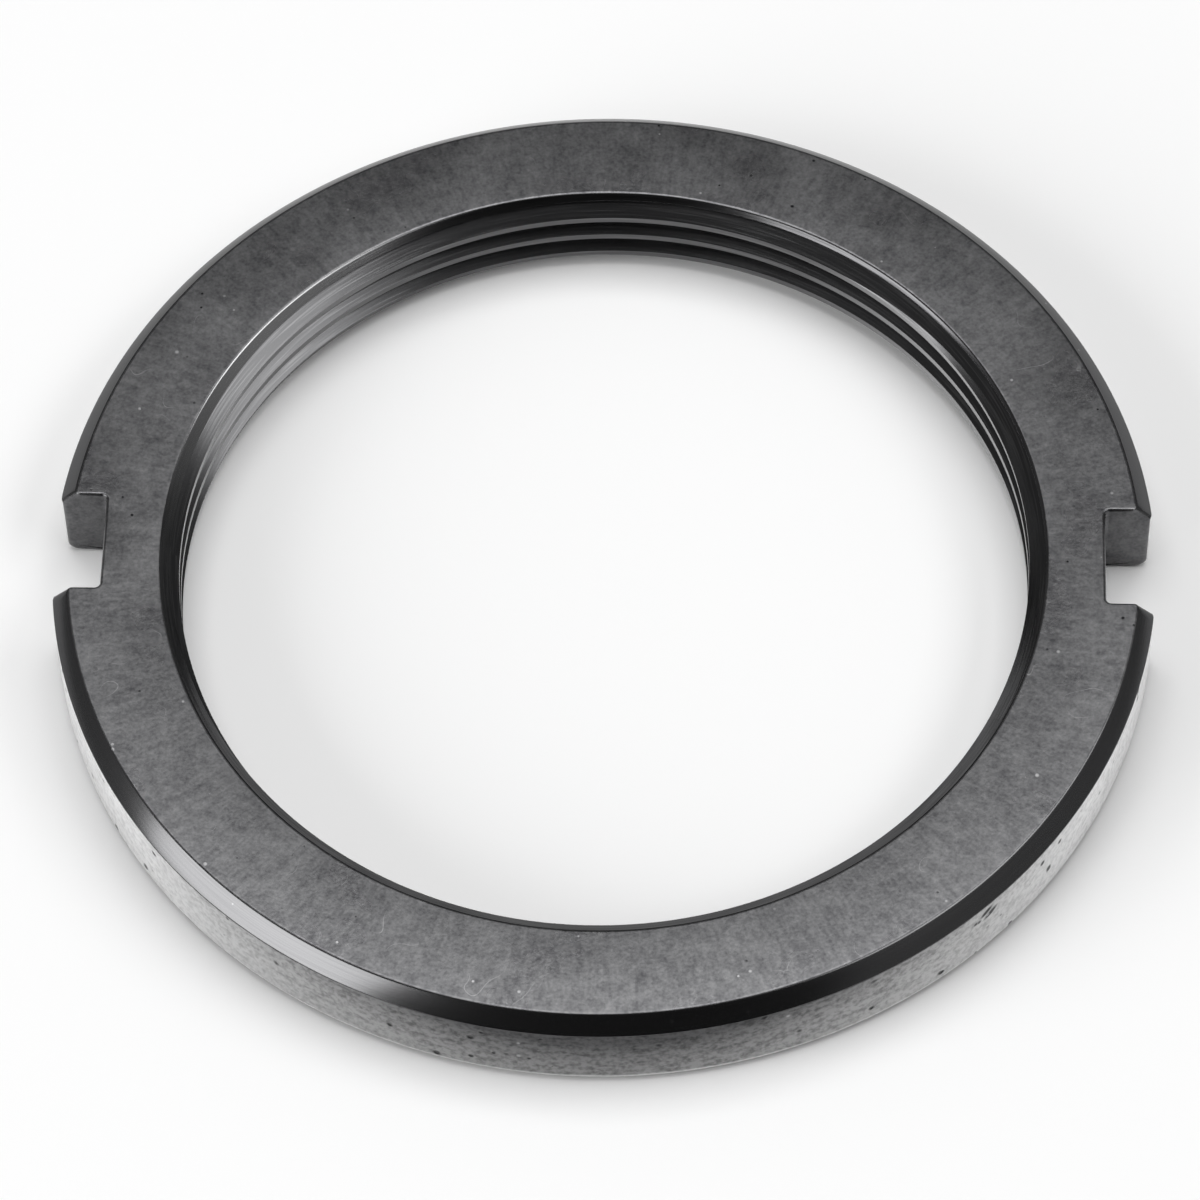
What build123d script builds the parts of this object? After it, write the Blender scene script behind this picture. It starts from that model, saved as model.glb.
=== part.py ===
from build123d import *
import math
import os

# Lock ring for a threaded hub, one turned, threaded and slotted steel ring.
# Millimetres. Z is the thread's axis and the ring lies on Z = 0 with its chamfered face up.
# The first spanner slot lies on +X, and the others are spaced evenly round the rim from it.

# Driving dimensions of the left-hand thread, 1.29 in across and 24 turns to the inch
thread_major_diameter = 32.77
thread_pitch = 1.0583
thread_flank_angle = 30.0
thread_start_angle = 182.0

# Driving dimensions of the turned blank, whose rim stands around the thread: 41 mm across
rim_width = 4.115
thickness = 3.8
top_chamfer = 0.6
bottom_corner_radius = 0.5

# Countersinks at both ends of the thread, and the rounding where they meet the flat faces
countersink_beyond_thread = 0.08
lip_radius = 0.18

# Driving dimensions of the spanner slots
slot_count = 2
slot_width = 4.1
slot_depth = 1.9
slot_corner_radius = 0.2
slot_edge_radius = 0.12

# Margins that only carry the cutting solids clear of the ring
slot_cutter_margin = 1.0
groove_overlap = 0.15

# The basic 60 degree thread form, which follows from its pitch and flank angle
flank_slope = math.tan(math.radians(thread_flank_angle))
sharp_thread_height = thread_pitch / 2 / flank_slope
thread_depth = sharp_thread_height * 5 / 8
root_flat = thread_pitch / 8

# Radii of the walls, from the axis
major_radius = thread_major_diameter / 2
minor_radius = major_radius - thread_depth
mouth_radius = major_radius + countersink_beyond_thread
countersink_depth = mouth_radius - minor_radius
outer_radius = major_radius + rim_width
slot_floor_radius = outer_radius - slot_depth


def turned_blank():
    """The ring off the lathe: two flat faces, a chamfer, a rounded corner and a countersunk bore."""
    with BuildPart() as blank:
        with BuildSketch(Plane.XZ):
            with BuildLine():
                Polyline(
                    (minor_radius, countersink_depth),
                    (minor_radius, thickness - countersink_depth),
                    (mouth_radius, thickness),
                    (outer_radius - top_chamfer, thickness),
                    (outer_radius, thickness - top_chamfer),
                    (outer_radius, 0),
                    (mouth_radius, 0),
                    close=True,
                )
            make_face()
        revolve(axis=Axis.Z)
        rims = blank.edges().filter_by(GeomType.CIRCLE)
        lips = rims.filter_by(lambda rim: abs(rim.radius - mouth_radius) < 1e-6)
        bottom_corner = rims.group_by(Axis.Z)[0].sort_by(lambda rim: rim.radius)[-1]
        fillet(bottom_corner, bottom_corner_radius)
        fillet(lips, lip_radius)
    return blank.part


def slot_cutters():
    """One upright block for each spanner slot, its two inner corners rounded as by an end mill."""
    reach = slot_depth + slot_cutter_margin
    with BuildPart() as cutters:
        with BuildSketch(Plane.XY.offset(-slot_cutter_margin)):
            with PolarLocations(slot_floor_radius + reach / 2, slot_count):
                Rectangle(reach, slot_width)
        extrude(amount=thickness + 2 * slot_cutter_margin)
        uprights = cutters.edges().filter_by(Axis.Z)
        inner = uprights.filter_by(
            lambda edge: math.hypot(edge.center().X, edge.center().Y) < outer_radius
        )
        fillet(inner, slot_corner_radius)
    return cutters.part


def groove_turn():
    """One left-hand turn of the thread groove, starting at angle zero and height zero."""
    path = Helix(thread_pitch, thread_pitch, minor_radius, lefthand=True)
    half_root = root_flat / 2
    half_mouth = half_root + (thread_depth + groove_overlap) * flank_slope
    with BuildSketch(Plane(origin=path @ 0, x_dir=(1, 0, 0), z_dir=path % 0)) as section:
        Polygon(
            (-groove_overlap, -half_mouth),
            (thread_depth, -half_root),
            (thread_depth, half_root),
            (-groove_overlap, half_mouth),
            align=None,
        )
    return sweep(section.sketch, path=path, is_frenet=True)


def groove_turns():
    """The whole groove, end to end in single turns, from a turn below the ring to a turn above."""
    turn = groove_turn()
    count = math.ceil(thickness / thread_pitch) + 2
    turns = []
    for index in range(count):
        height = (index - 1) * thread_pitch
        raised = turn.moved(Location((0, 0, height)))
        turns.append(raised.rotate(Axis.Z, thread_start_angle))
    return turns


blank = turned_blank()
cutters = slot_cutters()
slotted = blank - cutters
slotted = fillet(new_edges(blank, cutters, combined=slotted), slot_edge_radius)
lock_ring = slotted.cut(*groove_turns())

os.makedirs("parts", exist_ok=True)
export_step(lock_ring, "parts/lock_ring.step")
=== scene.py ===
import math

import bpy
from mathutils import Matrix, Vector


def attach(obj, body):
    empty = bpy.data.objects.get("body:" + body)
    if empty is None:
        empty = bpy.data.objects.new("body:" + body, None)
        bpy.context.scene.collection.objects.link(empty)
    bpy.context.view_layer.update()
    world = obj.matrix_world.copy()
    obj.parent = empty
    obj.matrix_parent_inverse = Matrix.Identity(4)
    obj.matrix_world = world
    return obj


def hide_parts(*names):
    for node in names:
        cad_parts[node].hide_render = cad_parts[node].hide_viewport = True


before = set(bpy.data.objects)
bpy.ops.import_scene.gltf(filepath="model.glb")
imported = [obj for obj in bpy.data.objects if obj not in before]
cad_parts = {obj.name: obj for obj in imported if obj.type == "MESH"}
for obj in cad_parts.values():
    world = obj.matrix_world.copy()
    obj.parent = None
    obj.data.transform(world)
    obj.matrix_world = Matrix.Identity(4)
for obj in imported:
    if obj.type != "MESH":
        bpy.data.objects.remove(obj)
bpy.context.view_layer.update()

# Floor: a sheet of matt white laminate, larger than the lamps reach. The ring lies on it, a hair
# above, so that its shadow starts right under its lower corner.

laminate_white = "#F9F9F9"
floor_half = 1.5
floor_gap = 0.00001


def linear(hex_colour):
    """An sRGB hex colour as the linear colour that Blender's sockets take."""
    shares = [int(hex_colour[i:i + 2], 16) / 255 for i in (1, 3, 5)]
    curved = [s / 12.92 if s <= 0.04045 else ((s + 0.055) / 1.055) ** 2.4 for s in shares]
    return (*curved, 1.0)


def add(tree, kind, sockets=None, **settings):
    """Adds a node: its settings, then for each input a value, or a link from a socket or node."""
    made = tree.nodes.new(kind)
    for name, value in settings.items():
        setattr(made, name, value)
    for socket, value in (sockets or {}).items():
        if isinstance(value, bpy.types.Node):
            value = value.outputs[0]
        if isinstance(value, bpy.types.NodeSocket):
            tree.links.new(value, made.inputs[socket])
        else:
            made.inputs[socket].default_value = value
    return made


laminate = bpy.data.materials.new("matt_white_laminate")
laminate.use_nodes = True
surface = laminate.node_tree.nodes["Principled BSDF"]
surface.inputs["Base Color"].default_value = linear(laminate_white)
surface.inputs["Roughness"].default_value = 0.9
surface.inputs["Specular IOR Level"].default_value = 0.1

floor_mesh = bpy.data.meshes.new("table_top")
floor_mesh.from_pydata(
    [(x * floor_half, y * floor_half, -floor_gap) for x, y in ((-1, -1), (1, -1), (1, 1), (-1, 1))],
    [], [(0, 1, 2, 3)])
floor_mesh.materials.append(laminate)
floor = bpy.data.objects.new("table_top", floor_mesh)
bpy.context.scene.collection.objects.link(floor)

# Lock ring finishes: one piece of dark hardened steel. The flat faces are bead blasted, the rim is
# ground, the chamfer and countersinks are turned, and the thread is cut last with a left-hand tap.
# Four of the five change colour as they are seen more edge-on, painted shade and sheen. That follows
# the view, so a bake is expected to keep the face-on colour alone. Sizes are in millimetres, and
# reliefs in metres.

mean_radius = 18.3
# The bore's painted highlight is centred at this azimuth round the ring and fades out this far either
# side.
painted_highlight_azimuth = math.radians(146)
painted_highlight_half_angle = math.radians(34)


def steel(name, roughness, grazing=1.0):
    """A new steel: its tree, its shader, and where its points are in millimetres and round the ring.
    A grazing share under 1 dulls its shine at a grazing angle, a painted shade."""
    made = bpy.data.materials.new(name)
    made.use_nodes = True
    tree = made.node_tree
    surface = tree.nodes["Principled BSDF"]
    surface.inputs["Metallic"].default_value = 1.0
    surface.inputs["Roughness"].default_value = roughness
    surface.inputs["Specular Tint"].default_value = (grazing, grazing, grazing, 1.0)
    place = add(tree, "ShaderNodeTexCoord").outputs["Object"]
    place = add(tree, "ShaderNodeVectorMath", {0: place, "Scale": 1000.0}, operation="SCALE")
    axes = add(tree, "ShaderNodeSeparateXYZ", {0: place}).outputs
    flat = add(tree, "ShaderNodeVectorMath", {0: place, 1: (1, 1, 0)}, operation="MULTIPLY")
    radius = add(tree, "ShaderNodeVectorMath", {0: flat}, operation="LENGTH").outputs["Value"]
    angle = add(tree, "ShaderNodeMath", {0: axes["Y"], 1: axes["X"]}, operation="ARCTAN2")
    arc = add(tree, "ShaderNodeMath", {0: angle, 1: mean_radius}, operation="MULTIPLY")
    rounded = add(tree, "ShaderNodeCombineXYZ", {"X": arc, "Y": radius, "Z": axes["Z"]})
    return made, tree, surface, place, rounded


def painted_highlight_patch(tree, rounded):
    """How much painted highlight the bore gets, most at the rear left."""
    arc = add(tree, "ShaderNodeSeparateXYZ", {0: rounded}).outputs["X"]
    aside = add(tree, "ShaderNodeMath",
                {0: arc, 1: painted_highlight_azimuth * mean_radius}, operation="SUBTRACT")
    aside = add(tree, "ShaderNodeMath", {0: aside}, operation="ABSOLUTE")
    return add(tree, "ShaderNodeMapRange",
               {"Value": aside, "From Max": painted_highlight_half_angle * mean_radius,
                "To Min": 1.0, "To Max": 0.0}, interpolation_type="SMOOTHSTEP")


def marks(tree, place, spacing, size, share):
    """Small round marks, that far apart and up to that size, in that share of the places."""
    cells = add(tree, "ShaderNodeTexVoronoi", {"Vector": place, "Scale": 1 / spacing}).outputs
    pick = add(tree, "ShaderNodeSeparateColor", {0: cells["Color"]}).outputs
    reach = add(tree, "ShaderNodeMapRange",
                {"Value": pick[0], "From Min": 1 - share, "To Min": 0.001, "To Max": size / spacing})
    return add(tree, "ShaderNodeMapRange",
               {"Value": cells["Distance"], "From Max": reach, "To Min": 2.0, "To Max": 0.0})


def streaks(tree, rounded, lengths):
    """Fine streaks, of those lengths round the ring, outwards and upwards."""
    steps = tuple(1 / length for length in lengths)
    stretched = add(tree, "ShaderNodeVectorMath", {0: rounded, 1: steps}, operation="MULTIPLY")
    return add(tree, "ShaderNodeTexNoise", {"Vector": stretched, "Scale": 1.0, "Detail": 3.0})


def shade(tree, surface, share, dark, light):
    """Colours the steel from dark to light by a share, and returns the mixed colour."""
    mixed = add(tree, "ShaderNodeMix", {0: share, 6: dark, 7: light}, data_type="RGBA").outputs[2]
    tree.links.new(mixed, surface.inputs["Base Color"])
    return mixed


# Blasted steel: fine shot leaves an even satin grain of about 0.13 mm, mottled where the scale under
# it was thicker. Handling has brushed faint streaks outwards across it and left a few curled
# scratches. A crown of about a sixtieth of a millimetre is in the relief alone, not in the mesh.
blasted_dark = "#48484A"
blasted_light = "#767677"
pit_colour = "#222223"
nick_colour = "#9C9C9D"
shot_grain = 0.13
mottle_size = 0.36
cloud_size = 3.0
curl_size = 1.1
curl_patch_size = 2.3
crown_radius = 18.2
peened_relief = 0.000003

blasted_steel, tree, surface, place, rounded = steel("blasted_steel", 0.29)
grain = add(tree, "ShaderNodeTexNoise",
            {"Vector": place, "Scale": 1 / shot_grain, "Detail": 2.0, "Roughness": 0.6})
mottle = add(tree, "ShaderNodeTexNoise",
             {"Vector": place, "Scale": 1 / mottle_size, "Detail": 3.0, "Roughness": 0.55})
brushed = streaks(tree, rounded, (0.2, 1.2, 1.2))
cloud = add(tree, "ShaderNodeTexNoise", {"Vector": place, "Scale": 1 / cloud_size, "Detail": 2.0})
tone = 0.0
for pattern, weight in ((mottle, 0.75), (brushed, 0.45), (grain, 0.65), (cloud, 0.4)):
    tone = add(tree, "ShaderNodeMath", {0: pattern, 1: weight, 2: tone}, operation="MULTIPLY_ADD")
tone = add(tree, "ShaderNodeMapRange", {"Value": tone, "From Min": 0.78, "From Max": 1.48})
tone = shade(tree, surface, tone, linear(blasted_dark), linear(blasted_light))
pits = marks(tree, place, spacing=0.4, size=0.09, share=0.09)
tone = shade(tree, surface, pits, tone, linear(pit_colour))
curl = add(tree, "ShaderNodeTexNoise", {"Vector": place, "Scale": 1 / curl_size, "Detail": 0.0})
curl = add(tree, "ShaderNodeMath", {0: curl, 1: 0.5, 2: 0.004}, operation="COMPARE")
patch = add(tree, "ShaderNodeTexNoise",
            {"Vector": place, "Scale": 1 / curl_patch_size, "Detail": 1.0})
patch = add(tree, "ShaderNodeMapRange",
            {"Value": patch, "From Min": 0.61, "From Max": 0.73, "To Max": 0.55})
scratch = add(tree, "ShaderNodeMath", {0: curl, 1: patch}, operation="MULTIPLY")
nicks = marks(tree, place, spacing=0.41, size=0.1, share=0.07)
bright = add(tree, "ShaderNodeMath", {0: scratch, 1: nicks}, operation="MAXIMUM")
shade(tree, surface, bright, tone, linear(nick_colour))
sheen = add(tree, "ShaderNodeMapRange",
            {"Value": cloud, "From Min": 0.3, "From Max": 0.7, "To Min": 0.26, "To Max": 0.33})
tree.links.new(sheen.outputs[0], surface.inputs["Roughness"])
radius = add(tree, "ShaderNodeSeparateXYZ", {0: rounded}).outputs["Y"]
crown = add(tree, "ShaderNodeMath", {0: radius, 1: crown_radius}, operation="SUBTRACT")
crown = add(tree, "ShaderNodeMath", {0: crown, 1: 2.0}, operation="POWER")
peened = add(tree, "ShaderNodeMath", {0: pits, 1: -0.8, 2: grain}, operation="MULTIPLY_ADD")
peened = add(tree, "ShaderNodeMath", {0: crown, 1: -2.0, 2: peened}, operation="MULTIPLY_ADD")
peened = add(tree, "ShaderNodeBump", {"Height": peened, "Distance": peened_relief, "Strength": 1.0})
tree.links.new(peened.outputs[0], surface.inputs["Normal"])

# Turned steel: a sharp tool leaves a polished chamfer, with lines round the axis about 0.05 mm apart,
# as fine as the render shows, and a few bright nicks. It is darker where it is seen more edge-on, a
# painted shade.
turned_face_on = "#686869"
turned_edge_on = "#525253"
turned_lines = (5.0, 0.05, 0.05)
turned_relief = 0.0000006

turned_steel, tree, surface, place, rounded = steel("turned_steel", 0.19, grazing=0.72)
facing = add(tree, "ShaderNodeLayerWeight", {"Blend": 0.5}).outputs["Facing"]
edge_on = add(tree, "ShaderNodeMapRange", {"Value": facing, "From Min": 0.2, "From Max": 0.42})
tone = shade(tree, surface, edge_on, linear(turned_face_on), linear(turned_edge_on))
lines = streaks(tree, rounded, turned_lines)
scored = add(tree, "ShaderNodeMapRange",
             {"Value": lines, "From Min": 0.45, "From Max": 0.75, "To Max": 0.35})
tone = shade(tree, surface, scored, tone, linear(blasted_dark))
nicks = marks(tree, place, spacing=0.3, size=0.08, share=0.05)
shade(tree, surface, nicks, tone, linear(nick_colour))
ridges = add(tree, "ShaderNodeBump", {"Height": lines, "Distance": turned_relief, "Strength": 1.0})
tree.links.new(ridges.outputs[0], surface.inputs["Normal"])

# Countersunk steel: turned too. Its shine is dimmed where it is seen edge-on, a painted shade, and
# its colour lightens a little there. A painted highlight lightens it at the rear left.
countersunk_face_on = "#5E5E5F"
countersunk_edge_on = "#666667"
countersunk_painted_highlight = "#B0B0B1"
countersunk_lines = (3.0, 0.06, 0.06)
countersunk_relief = 0.000002

countersunk_steel, tree, surface, place, rounded = steel("countersunk_steel", 0.2, grazing=0.45)
facing = add(tree, "ShaderNodeLayerWeight", {"Blend": 0.5}).outputs["Facing"]
edge_on = add(tree, "ShaderNodeMapRange", {"Value": facing, "From Min": 0.4, "From Max": 0.65})
tone = shade(tree, surface, edge_on, linear(countersunk_face_on), linear(countersunk_edge_on))
lines = streaks(tree, rounded, countersunk_lines)
scored = add(tree, "ShaderNodeMapRange",
             {"Value": lines, "From Min": 0.4, "From Max": 0.65, "To Max": 0.5})
tone = shade(tree, surface, scored, tone, linear(pit_colour))
shade(tree, surface, painted_highlight_patch(tree, rounded), tone, linear(countersunk_painted_highlight))
ridges = add(tree, "ShaderNodeBump",
             {"Height": lines, "Distance": countersunk_relief, "Strength": 1.0})
tree.links.new(ridges.outputs[0], surface.inputs["Normal"])

# Ground steel: the rim has a coarser satin than the face, with small dark pits and a few bright
# nicks. It goes from dark to nearly white as it is seen more edge-on, a painted sheen, stronger than
# bare steel has, fitted to the photograph. The larger marks at the right front, a double nick and two
# pits, are each (place round the ring, height, tilt, half length, half width).
ground_face_on = "#4C4C4D"
ground_dark = "#1E1E1F"
ground_edge_on = "#F8F8F8"
wheel_grain = 0.22
worn_relief = 0.000004
rim_radius = 20.5
rim_marks = (
    (-14.77, 2.79, math.radians(36), 0.32, 0.13),
    (-14.58, 2.53, math.radians(36), 0.34, 0.14),
    (-12.05, 2.5, 0.0, 0.11, 0.14),
    (-11.67, 1.6, 0.0, 0.13, 0.18),
)

ground_steel, tree, surface, place, rounded = steel("ground_steel", 0.33)
grain = add(tree, "ShaderNodeTexNoise",
            {"Vector": place, "Scale": 1 / wheel_grain, "Detail": 3.0, "Roughness": 0.6})
brushed = streaks(tree, rounded, (1.2, 1.2, 0.3))
rough = add(tree, "ShaderNodeMath", {0: grain, 1: 2.0, 2: brushed}, operation="MULTIPLY_ADD")
facing = add(tree, "ShaderNodeLayerWeight", {"Blend": 0.5}).outputs["Facing"]
edge_on = add(tree, "ShaderNodeMapRange", {"Value": facing, "From Min": 0.47, "From Max": 0.76})
tone = shade(tree, surface, edge_on, linear(ground_face_on), linear(ground_edge_on))
most = add(tree, "ShaderNodeMapRange",
           {"Value": facing, "From Min": 0.45, "From Max": 0.7, "To Min": 0.8, "To Max": 0.25})
rough = add(tree, "ShaderNodeMapRange",
            {"Value": rough, "From Min": 1.3, "From Max": 1.9, "To Max": most})
tone = shade(tree, surface, rough, tone, linear(ground_dark))
pits = marks(tree, place, spacing=0.42, size=0.2, share=0.1)
for arc, height, tilt, half_length, half_width in rim_marks:
    struck = add(tree, "ShaderNodeMapping",
                 {"Vector": rounded, "Location": (arc, rim_radius, height), "Rotation": (0, -tilt, 0),
                  "Scale": (half_length, 1.0, half_width)}, vector_type="TEXTURE")
    struck = add(tree, "ShaderNodeVectorMath", {0: struck}, operation="LENGTH").outputs["Value"]
    struck = add(tree, "ShaderNodeMapRange",
                 {"Value": struck, "From Min": 0.6, "From Max": 1.2, "To Min": 1.0, "To Max": 0.0})
    pits = add(tree, "ShaderNodeMath", {0: pits, 1: struck}, operation="MAXIMUM")
tone = shade(tree, surface, pits, tone, linear(pit_colour))
nicks = marks(tree, place, spacing=0.31, size=0.12, share=0.04)
shade(tree, surface, nicks, tone, linear(nick_colour))
worn = add(tree, "ShaderNodeMath", {0: pits, 1: -4.0, 2: grain}, operation="MULTIPLY_ADD")
worn = add(tree, "ShaderNodeBump", {"Height": worn, "Distance": worn_relief, "Strength": 1.0})
tree.links.new(worn.outputs[0], surface.inputs["Normal"])

# Tapped steel: the tap's teeth leave lines along the thread, as fine as the render shows. Its colour
# lightens in two steps as it is seen more edge-on, painted shade in the grooves and painted
# highlights on the lands. From the photograph's side that tells the lands from the grooves, but it
# goes by the view, and not by their place. A painted highlight lightens it at the rear left.
tapped_face_on = "#464647"
tapped_leaning = "#5C5C5D"
tapped_edge_on = "#ACACAD"
thread_painted_highlight = "#606061"
tapped_lines = (4.0, 0.05, 0.05)
tapped_relief = 0.000002

tapped_steel, tree, surface, place, rounded = steel("tapped_steel", 0.2)
facing = add(tree, "ShaderNodeLayerWeight", {"Blend": 0.5}).outputs["Facing"]
leaning = add(tree, "ShaderNodeMapRange", {"Value": facing, "From Min": 0.3, "From Max": 0.44})
tone = shade(tree, surface, leaning, linear(tapped_face_on), linear(tapped_leaning))
edge_on = add(tree, "ShaderNodeMapRange", {"Value": facing, "From Min": 0.47, "From Max": 0.62})
tone = shade(tree, surface, edge_on, tone, linear(tapped_edge_on))
tone = shade(tree, surface, painted_highlight_patch(tree, rounded), tone, linear(thread_painted_highlight))
lines = streaks(tree, rounded, tapped_lines)
scored = add(tree, "ShaderNodeMapRange",
             {"Value": lines, "From Min": 0.5, "From Max": 0.8, "To Max": 0.4})
shade(tree, surface, scored, tone, linear(nick_colour))
ridges = add(tree, "ShaderNodeBump", {"Height": lines, "Distance": tapped_relief, "Strength": 1.0})
tree.links.new(ridges.outputs[0], surface.inputs["Normal"])

# Lock ring body: a flat steel ring, 41 mm across and 3.8 mm thick, turned with a 0.6 mm chamfer on
# its outer face and countersunk at both ends of its bore, then milled with two spanner slots.

blank_sizes = {
    "Outer radius": rim_radius,
    "Thickness": 3.8,
    "Chamfer": 0.6,
    "Bottom corner radius": 0.5,
    "Bore radius": 15.812,
    "Countersink depth": 0.653,
    "Lip radius": 0.18,
    "Slot width": 4.1,
    "Slot depth": 1.9,
    "Slot corner radius": 0.2,
    "Slots": 2,
    "Columns": 720,
}
face_lip_bevel = 0.08
rim_lip_bevel = 0.03
slot_edge_bevel = 0.12
slot_mouth_bevel = 0.25
slot_clearance = slot_edge_bevel * 3.5
bore_zone = 17.5
merge_gap = 0.0005


def sized_tree(name, sizes):
    """A modifier's node tree with a named input for each size, and the outputs of those inputs."""
    tree = bpy.data.node_groups.new(name, "GeometryNodeTree")
    tree.is_modifier = True
    for way in ("INPUT", "OUTPUT"):
        tree.interface.new_socket("Geometry", in_out=way, socket_type="NodeSocketGeometry")
    for label, value in sizes.items():
        kind = "NodeSocketInt" if isinstance(value, int) else "NodeSocketFloat"
        tree.interface.new_socket(label, in_out="INPUT", socket_type=kind)
    return tree, add(tree, "NodeGroupInput").outputs


def from_axis(tree):
    """The distance of each point, edge or face from the thread's axis."""
    place = add(tree, "GeometryNodeInputPosition")
    flat = add(tree, "ShaderNodeVectorMath", {0: place, 1: (1, 1, 0)}, operation="MULTIPLY")
    return add(tree, "ShaderNodeVectorMath", {0: flat}, operation="LENGTH").outputs["Value"]


# Each corner of the section has a distance from the axis, a depth below the outer face and a radius.
# The sweep lays the depths downwards, so the swept blank is lifted by the ring's thickness.
blank, size = sized_tree("Turned and slotted ring", blank_sizes)
mouth_radius = add(blank, "ShaderNodeMath",
                   {0: size["Bore radius"], 1: size["Countersink depth"]}, operation="ADD")
land_end = add(blank, "ShaderNodeMath",
               {0: size["Thickness"], 1: size["Countersink depth"]}, operation="SUBTRACT")
face_radius = add(blank, "ShaderNodeMath",
                  {0: size["Outer radius"], 1: size["Chamfer"]}, operation="SUBTRACT")
section_corners = [
    (size["Bore radius"], land_end, 0.0),
    (size["Bore radius"], size["Countersink depth"], 0.0),
    (mouth_radius, 0.0, size["Lip radius"]),
    (face_radius, 0.0, 0.0),
    (size["Outer radius"], size["Chamfer"], 0.0),
    (size["Outer radius"], size["Thickness"], size["Bottom corner radius"]),
    (mouth_radius, size["Thickness"], size["Lip radius"]),
]
corner_number = add(blank, "GeometryNodeInputIndex")
places = add(blank, "GeometryNodeIndexSwitch", {"Index": corner_number}, data_type="VECTOR")
roundings = add(blank, "GeometryNodeIndexSwitch", {"Index": corner_number}, data_type="FLOAT")
for item, (radius, depth, rounding) in enumerate(section_corners):
    if item > 1:
        places.index_switch_items.new()
        roundings.index_switch_items.new()
    inward = add(blank, "ShaderNodeMath", {0: radius, 1: size["Outer radius"]}, operation="SUBTRACT")
    corner = add(blank, "ShaderNodeCombineXYZ", {"X": inward, "Y": depth})
    blank.links.new(corner.outputs[0], places.inputs[item + 1])
    if rounding:
        blank.links.new(rounding, roundings.inputs[item + 1])
section = add(blank, "GeometryNodeResampleCurve",
              {"Curve": add(blank, "GeometryNodeCurvePrimitiveLine"), "Count": len(section_corners)})
section = add(blank, "GeometryNodeSetPosition", {"Geometry": section, "Position": places})
section = add(blank, "GeometryNodeSetSplineCyclic", {"Geometry": section, "Cyclic": True})
section = add(blank, "GeometryNodeFilletCurve",
              {"Curve": section, "Count": 9, "Radius": roundings}, mode="POLY")

# The section is swept round the rim, without the columns that would run along a slot's edge.
share = add(blank, "ShaderNodeMath", {0: math.tau, 1: size["Slots"]}, operation="DIVIDE")
half_share = add(blank, "ShaderNodeMath", {0: share, 1: 0.5}, operation="MULTIPLY")
half_width = add(blank, "ShaderNodeMath", {0: size["Slot width"], 1: 0.5}, operation="MULTIPLY")
rim = add(blank, "GeometryNodeCurvePrimitiveCircle",
          {"Resolution": size["Columns"], "Radius": size["Outer radius"]})
rim_place = add(blank, "ShaderNodeSeparateXYZ", {0: add(blank, "GeometryNodeInputPosition")}).outputs
angle = add(blank, "ShaderNodeMath", {0: rim_place["Y"], 1: rim_place["X"]}, operation="ARCTAN2")
angle = add(blank, "ShaderNodeMath", {0: angle, 1: half_share}, operation="ADD")
angle = add(blank, "ShaderNodeMath", {0: angle, 1: share}, operation="FLOORED_MODULO")
angle = add(blank, "ShaderNodeMath", {0: angle, 1: half_share}, operation="SUBTRACT")
angle = add(blank, "ShaderNodeMath", {0: angle}, operation="ABSOLUTE")
aside = add(blank, "ShaderNodeMath", {0: angle}, operation="SINE")
aside = add(blank, "ShaderNodeMath", {0: aside, 1: size["Outer radius"]}, operation="MULTIPLY")
by_slot_edge = add(blank, "ShaderNodeMath", {0: aside, 1: half_width, 2: slot_clearance},
                   operation="COMPARE")
rim = add(blank, "GeometryNodeDeleteGeometry",
          {"Geometry": rim, "Selection": by_slot_edge}, domain="POINT")
rim = add(blank, "GeometryNodeSetCurveNormal", {"Curve": rim}, mode="Z_UP")
ring_blank = add(blank, "GeometryNodeCurveToMesh", {"Curve": rim, "Profile Curve": section})
lift = add(blank, "ShaderNodeCombineXYZ", {"Z": size["Thickness"]})
ring_blank = add(blank, "GeometryNodeTransform", {"Geometry": ring_blank, "Translation": lift})

# Each wall of the blank has its own finish, told by where it lies and by how far up it faces: the
# chamfer is turned, and then come the countersinks, the bore, the flat faces and the rim.
out = from_axis(blank)
in_bore = add(blank, "FunctionNodeCompare", {"A": out, "B": bore_zone}, operation="LESS_THAN")
outside = add(blank, "FunctionNodeCompare", {"A": out, "B": bore_zone}, operation="GREATER_THAN")
on_rim = add(blank, "FunctionNodeCompare", {"A": out, "B": face_radius}, operation="GREATER_THAN")
up = add(blank, "ShaderNodeSeparateXYZ", {0: add(blank, "GeometryNodeInputNormal")}).outputs["Z"]
up = add(blank, "ShaderNodeMath", {0: up}, operation="ABSOLUTE")
flat = add(blank, "FunctionNodeCompare", {"A": up, "B": 0.95}, operation="GREATER_THAN")
steep = add(blank, "FunctionNodeCompare", {"A": up, "B": 0.6}, operation="LESS_THAN")
upright = add(blank, "FunctionNodeCompare", {"A": up, "B": 0.1}, operation="LESS_THAN")
land = add(blank, "FunctionNodeBooleanMath", {0: in_bore, 1: upright}, operation="AND")
on_rim_wall = add(blank, "FunctionNodeBooleanMath", {0: on_rim, 1: steep}, operation="AND")
for material, chosen in ((turned_steel, True), (countersunk_steel, in_bore), (tapped_steel, land),
                         (blasted_steel, flat), (ground_steel, on_rim_wall)):
    ring_blank = add(blank, "GeometryNodeSetMaterial",
                     {"Geometry": ring_blank, "Selection": chosen, "Material": material})

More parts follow.
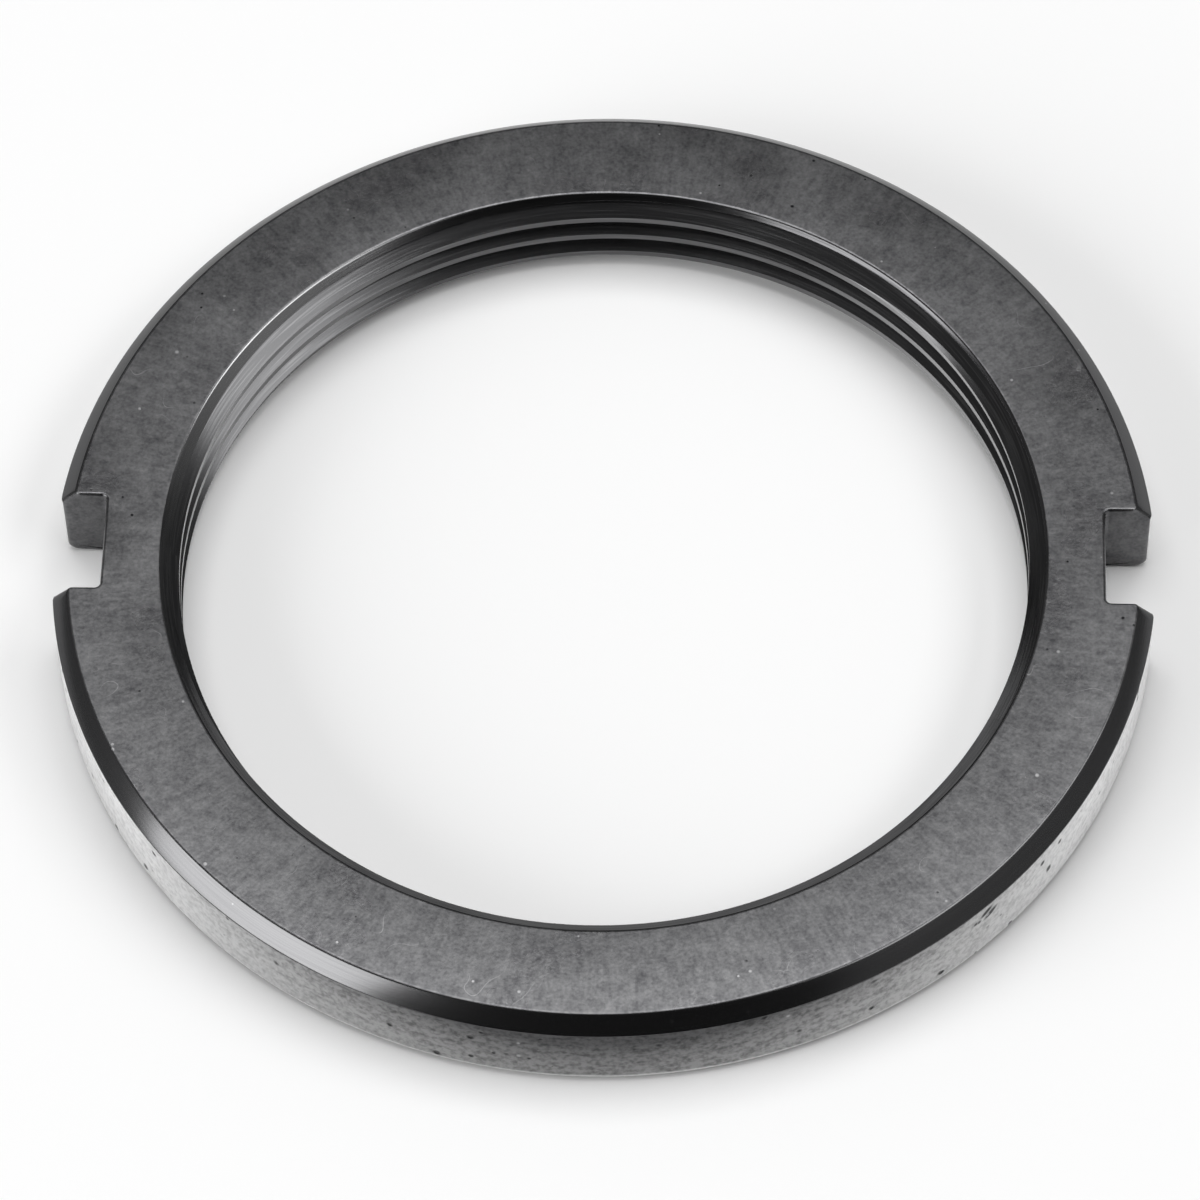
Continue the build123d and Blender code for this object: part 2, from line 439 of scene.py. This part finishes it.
# The spanner slots are cut by square bars with rounded corners, evenly round the rim from +X. Each
# bar is twice as tall as the ring, and starts half the ring's thickness below it.
bar = add(blank, "GeometryNodeCurvePrimitiveQuadrilateral",
          {"Width": size["Slot width"], "Height": size["Slot width"]}, mode="RECTANGLE")
bar = add(blank, "GeometryNodeFilletCurve",
          {"Curve": bar, "Count": 5, "Radius": size["Slot corner radius"]}, mode="POLY")
bar_length = add(blank, "ShaderNodeMath", {0: size["Thickness"], 1: 2.0}, operation="MULTIPLY")
bar_top = add(blank, "ShaderNodeCombineXYZ", {"Z": bar_length})
stem = add(blank, "GeometryNodeCurvePrimitiveLine", {"End": bar_top})
bar = add(blank, "GeometryNodeCurveToMesh", {"Curve": stem, "Profile Curve": bar, "Fill Caps": True})
bar = add(blank, "GeometryNodeSetMaterial", {"Geometry": bar, "Material": blasted_steel})
slot_floor = add(blank, "ShaderNodeMath",
                 {0: size["Outer radius"], 1: size["Slot depth"]}, operation="SUBTRACT")
bar_out = add(blank, "ShaderNodeMath", {0: slot_floor, 1: half_width}, operation="ADD")
bar_down = add(blank, "ShaderNodeMath", {0: size["Thickness"], 1: -0.5}, operation="MULTIPLY")
bar_place = add(blank, "ShaderNodeCombineXYZ", {"X": bar_out, "Z": bar_down})
bar = add(blank, "GeometryNodeTransform", {"Geometry": bar, "Translation": bar_place})
bar_angle = add(blank, "ShaderNodeMath",
                {0: add(blank, "GeometryNodeInputIndex"), 1: share}, operation="MULTIPLY")
bars = add(blank, "GeometryNodeInstanceOnPoints",
           {"Points": add(blank, "GeometryNodePoints", {"Count": size["Slots"]}),
            "Instance": bar, "Rotation": add(blank, "ShaderNodeCombineXYZ", {"Z": bar_angle})})
bars = add(blank, "GeometryNodeRealizeInstances", {"Geometry": bars})
slotted = add(blank, "GeometryNodeMeshBoolean", {"Mesh 1": ring_blank, "Mesh 2": bars},
              operation="DIFFERENCE", solver="MANIFOLD")
slotted = add(blank, "GeometryNodeMergeByDistance", {"Geometry": slotted, "Distance": merge_gap})

# Outside the bore, every edge is deburred: the face's lip, the rim's sharper lip, the slots' edges,
# and then the slots' rounder mouths on the rim. An edge's weight is its share of the widest bevel.
edge_angle = add(blank, "GeometryNodeInputMeshEdgeAngle")
weight = 0.0
for sharpest, zone, bevel in ((30, outside, face_lip_bevel), (30, on_rim, rim_lip_bevel),
                              (60, outside, slot_edge_bevel), (60, on_rim, slot_mouth_bevel)):
    sharp = add(blank, "FunctionNodeCompare", {"A": edge_angle, "B": math.radians(sharpest)},
                operation="GREATER_THAN")
    sharp = add(blank, "FunctionNodeBooleanMath", {0: sharp, 1: zone}, operation="AND")
    weight = add(blank, "GeometryNodeSwitch",
                 {"Switch": sharp, "False": weight, "True": bevel / slot_mouth_bevel},
                 input_type="FLOAT")
slotted = add(blank, "GeometryNodeStoreNamedAttribute",
              {"Geometry": slotted, "Name": "bevel_weight_edge", "Value": weight},
              data_type="FLOAT", domain="EDGE")
add(blank, "NodeGroupOutput", {0: slotted})

# Lock ring thread: 32.77 mm across and 24 turns to the inch, left-hand, with a 60 degree form. It is
# a groove 0.57 mm deep that winds through the bore and runs out through both countersinks.

thread_sizes = {
    "Bore radius": blank_sizes["Bore radius"],
    "Thread depth": 0.5728,
    "Pitch": 1.0583,
    "Root width": 0.1323,
    "Flank angle": math.radians(30),
    "Start angle": math.radians(182),
    "Turns": 6,
    "Columns": blank_sizes["Columns"],
    "Overlap": 0.15,
}
crisp_in_bore = math.radians(10)
crisp_elsewhere = math.radians(26)

thread, size = sized_tree("Left-hand thread", thread_sizes)
cut_depth = add(thread, "ShaderNodeMath", {0: size["Thread depth"], 1: size["Overlap"]},
                operation="ADD")
slope = add(thread, "ShaderNodeMath", {0: size["Flank angle"]}, operation="TANGENT")
slope = add(thread, "ShaderNodeMath", {0: slope, 1: 2.0}, operation="MULTIPLY")
mouth_width = add(thread, "ShaderNodeMath", {0: cut_depth, 1: slope, 2: size["Root width"]},
                  operation="MULTIPLY_ADD")
groove = add(thread, "GeometryNodeCurvePrimitiveQuadrilateral",
             {"Height": cut_depth, "Bottom Width": mouth_width, "Top Width": size["Root width"],
              "Offset": 0.0}, mode="TRAPEZOID")
middle = add(thread, "ShaderNodeMath", {0: size["Overlap"], 1: size["Thread depth"]},
             operation="SUBTRACT")
middle = add(thread, "ShaderNodeMath", {0: middle, 1: 0.5}, operation="MULTIPLY")
groove = add(thread, "GeometryNodeTransform",
             {"Geometry": groove, "Translation": add(thread, "ShaderNodeCombineXYZ", {"X": middle}),
              "Rotation": (0, 0, math.pi / 2)})
rise = add(thread, "ShaderNodeMath", {0: size["Turns"], 1: size["Pitch"]}, operation="MULTIPLY")
spiral = add(thread, "GeometryNodeCurveSpiral",
             {"Resolution": size["Columns"], "Rotations": size["Turns"], "Height": rise,
              "Start Radius": size["Bore radius"], "End Radius": size["Bore radius"]})
spiral = add(thread, "GeometryNodeSetCurveNormal", {"Curve": spiral}, mode="Z_UP")
tap = add(thread, "GeometryNodeCurveToMesh",
          {"Curve": spiral, "Profile Curve": groove, "Fill Caps": True})
one_pitch_down = add(thread, "ShaderNodeMath", {0: size["Pitch"], 1: -1.0}, operation="MULTIPLY")
tap = add(thread, "GeometryNodeTransform",
          {"Geometry": tap, "Translation": add(thread, "ShaderNodeCombineXYZ", {"Z": one_pitch_down}),
           "Rotation": add(thread, "ShaderNodeCombineXYZ", {"Z": size["Start angle"]})})
tap = add(thread, "GeometryNodeSetMaterial", {"Geometry": tap, "Material": tapped_steel})
tapped = add(thread, "GeometryNodeMeshBoolean", {"Mesh 1": size["Geometry"], "Mesh 2": tap},
             operation="DIFFERENCE", solver="MANIFOLD")
tapped = add(thread, "GeometryNodeMergeByDistance", {"Geometry": tapped, "Distance": merge_gap})

# Edges that turn by more than the crisp angle stay crisp, and the rest are shaded smooth.
outside = add(thread, "FunctionNodeCompare", {"A": from_axis(thread), "B": bore_zone},
              operation="GREATER_THAN")
limit = add(thread, "GeometryNodeSwitch",
            {"Switch": outside, "False": crisp_in_bore, "True": crisp_elsewhere},
            input_type="FLOAT")
crisp = add(thread, "FunctionNodeCompare",
            {"A": add(thread, "GeometryNodeInputMeshEdgeAngle"), "B": limit},
            operation="GREATER_THAN")
tapped = add(thread, "GeometryNodeSetShadeSmooth",
             {"Geometry": tapped, "Selection": crisp, "Shade Smooth": False}, domain="EDGE")
in_metres = add(thread, "GeometryNodeTransform", {"Geometry": tapped, "Scale": (0.001,) * 3})
add(thread, "NodeGroupOutput", {0: add(thread, "GeometryNodeRealizeInstances", {0: in_metres})})

# The ring's modifiers follow its making: turned and slotted, deburred, then tapped. The last one
# lets each flat face shade flat right up to its rounded edges.


def apply_sizes(modifier, sizes):
    """Sets a modifier's inputs by their identifiers."""
    for item in modifier.node_group.interface.items_tree:
        if item.in_out == "INPUT" and item.name in sizes:
            modifier[item.identifier] = sizes[item.name]


worked = bpy.data.objects.new("worked_ring", bpy.data.meshes.new("worked_ring"))
bpy.context.scene.collection.objects.link(worked)
turning = worked.modifiers.new("Turning and slotting", "NODES")
turning.node_group = blank
apply_sizes(turning, blank_sizes)
deburring = worked.modifiers.new("Deburring", "BEVEL")
deburring.limit_method = "WEIGHT"
deburring.width = slot_mouth_bevel
deburring.segments = 4
deburring.use_clamp_overlap = False
tapping = worked.modifiers.new("Tapping", "NODES")
tapping.node_group = thread
apply_sizes(tapping, thread_sizes)
shading = worked.modifiers.new("Flat faces", "WEIGHTED_NORMAL")
shading.keep_sharp = True
evaluated = worked.evaluated_get(bpy.context.evaluated_depsgraph_get())
ring_mesh = bpy.data.meshes.new_from_object(evaluated)
ring_mesh.name = "ring_body"
bpy.data.objects.remove(worked)
ring = bpy.data.objects.new("ring_body", ring_mesh)
bpy.context.scene.collection.objects.link(ring)
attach(ring, "root")
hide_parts("lock_ring")

# Studio: a large softbox overhead and a little behind, one low at the left, and a broad one above
# the right. The side where the camera stands is dark, and the rest of the room gives a faint fill.

dark_side = (0.0, -0.866, 0.5)
dark_within = math.radians(31)
fill_beyond = math.radians(43)
dark_level = 0.035
fill_level = 0.21
lamp_distance = 1.0

world = bpy.data.worlds.new("studio_room")
world.use_nodes = True
bpy.context.scene.world = world
tree = world.node_tree
direction = add(tree, "ShaderNodeTexCoord").outputs["Generated"]
towards = add(tree, "ShaderNodeVectorMath", {0: direction, 1: dark_side}, operation="DOT_PRODUCT")
level = add(tree, "ShaderNodeMapRange",
            {"Value": towards.outputs["Value"], "From Min": math.cos(fill_beyond),
             "From Max": math.cos(dark_within), "To Min": fill_level, "To Max": dark_level},
            interpolation_type="SMOOTHSTEP")
tree.links.new(level.outputs[0], tree.nodes["Background"].inputs["Strength"])
tree.nodes["Background"].inputs["Color"].default_value = linear("#FFFFFF")


def softbox(name, azimuth, elevation, across, tall, level):
    """A softbox seen from the ring at those angles, so many degrees across and tall."""
    turn, lift = math.radians(azimuth), math.radians(elevation)
    way = Vector((math.cos(turn) * math.cos(lift), math.sin(turn) * math.cos(lift), math.sin(lift)))
    lamp = bpy.data.lights.new(name, "AREA")
    lamp.shape = "RECTANGLE"
    lamp.size = 2 * lamp_distance * math.tan(math.radians(across / 2))
    lamp.size_y = 2 * lamp_distance * math.tan(math.radians(tall / 2))
    lamp.energy = 4 * lamp.size * lamp.size_y * level
    box = bpy.data.objects.new(name, lamp)
    box.matrix_world = (Matrix.Translation(way * lamp_distance)
                        @ way.to_track_quat("Z", "Y").to_matrix().to_4x4())
    bpy.context.scene.collection.objects.link(box)


softbox("overhead_softbox", azimuth=93, elevation=81, across=44, tall=40, level=2.5)
softbox("left_softbox", azimuth=210, elevation=25, across=41, tall=32, level=3.3)
softbox("right_softbox", azimuth=352, elevation=50, across=45, tall=20, level=2.0)

# Camera: a long lens, looking down at 56.5 degrees on to the ring from in front, three degrees to
# the right of square to its slots and rolled by a degree and a half, as in the photograph.

camera_place = (0.006854, -0.137867, 0.209215)
camera_turn = math.radians(2.920)
camera_tilt = math.radians(33.456)
camera_roll = math.radians(-1.536)

camera = bpy.data.objects.new("camera", bpy.data.cameras.new("camera"))
camera.data.lens = 200.2
camera.data.sensor_width = 36.0
camera.data.clip_start = 0.01
camera.data.clip_end = 10.0
camera.matrix_world = (Matrix.Translation(camera_place) @ Matrix.Rotation(camera_turn, 4, "Z")
                       @ Matrix.Rotation(camera_tilt, 4, "X") @ Matrix.Rotation(camera_roll, 4, "Z"))
bpy.context.scene.collection.objects.link(camera)
bpy.context.scene.camera = camera
bpy.context.scene.view_settings.view_transform = "Standard"
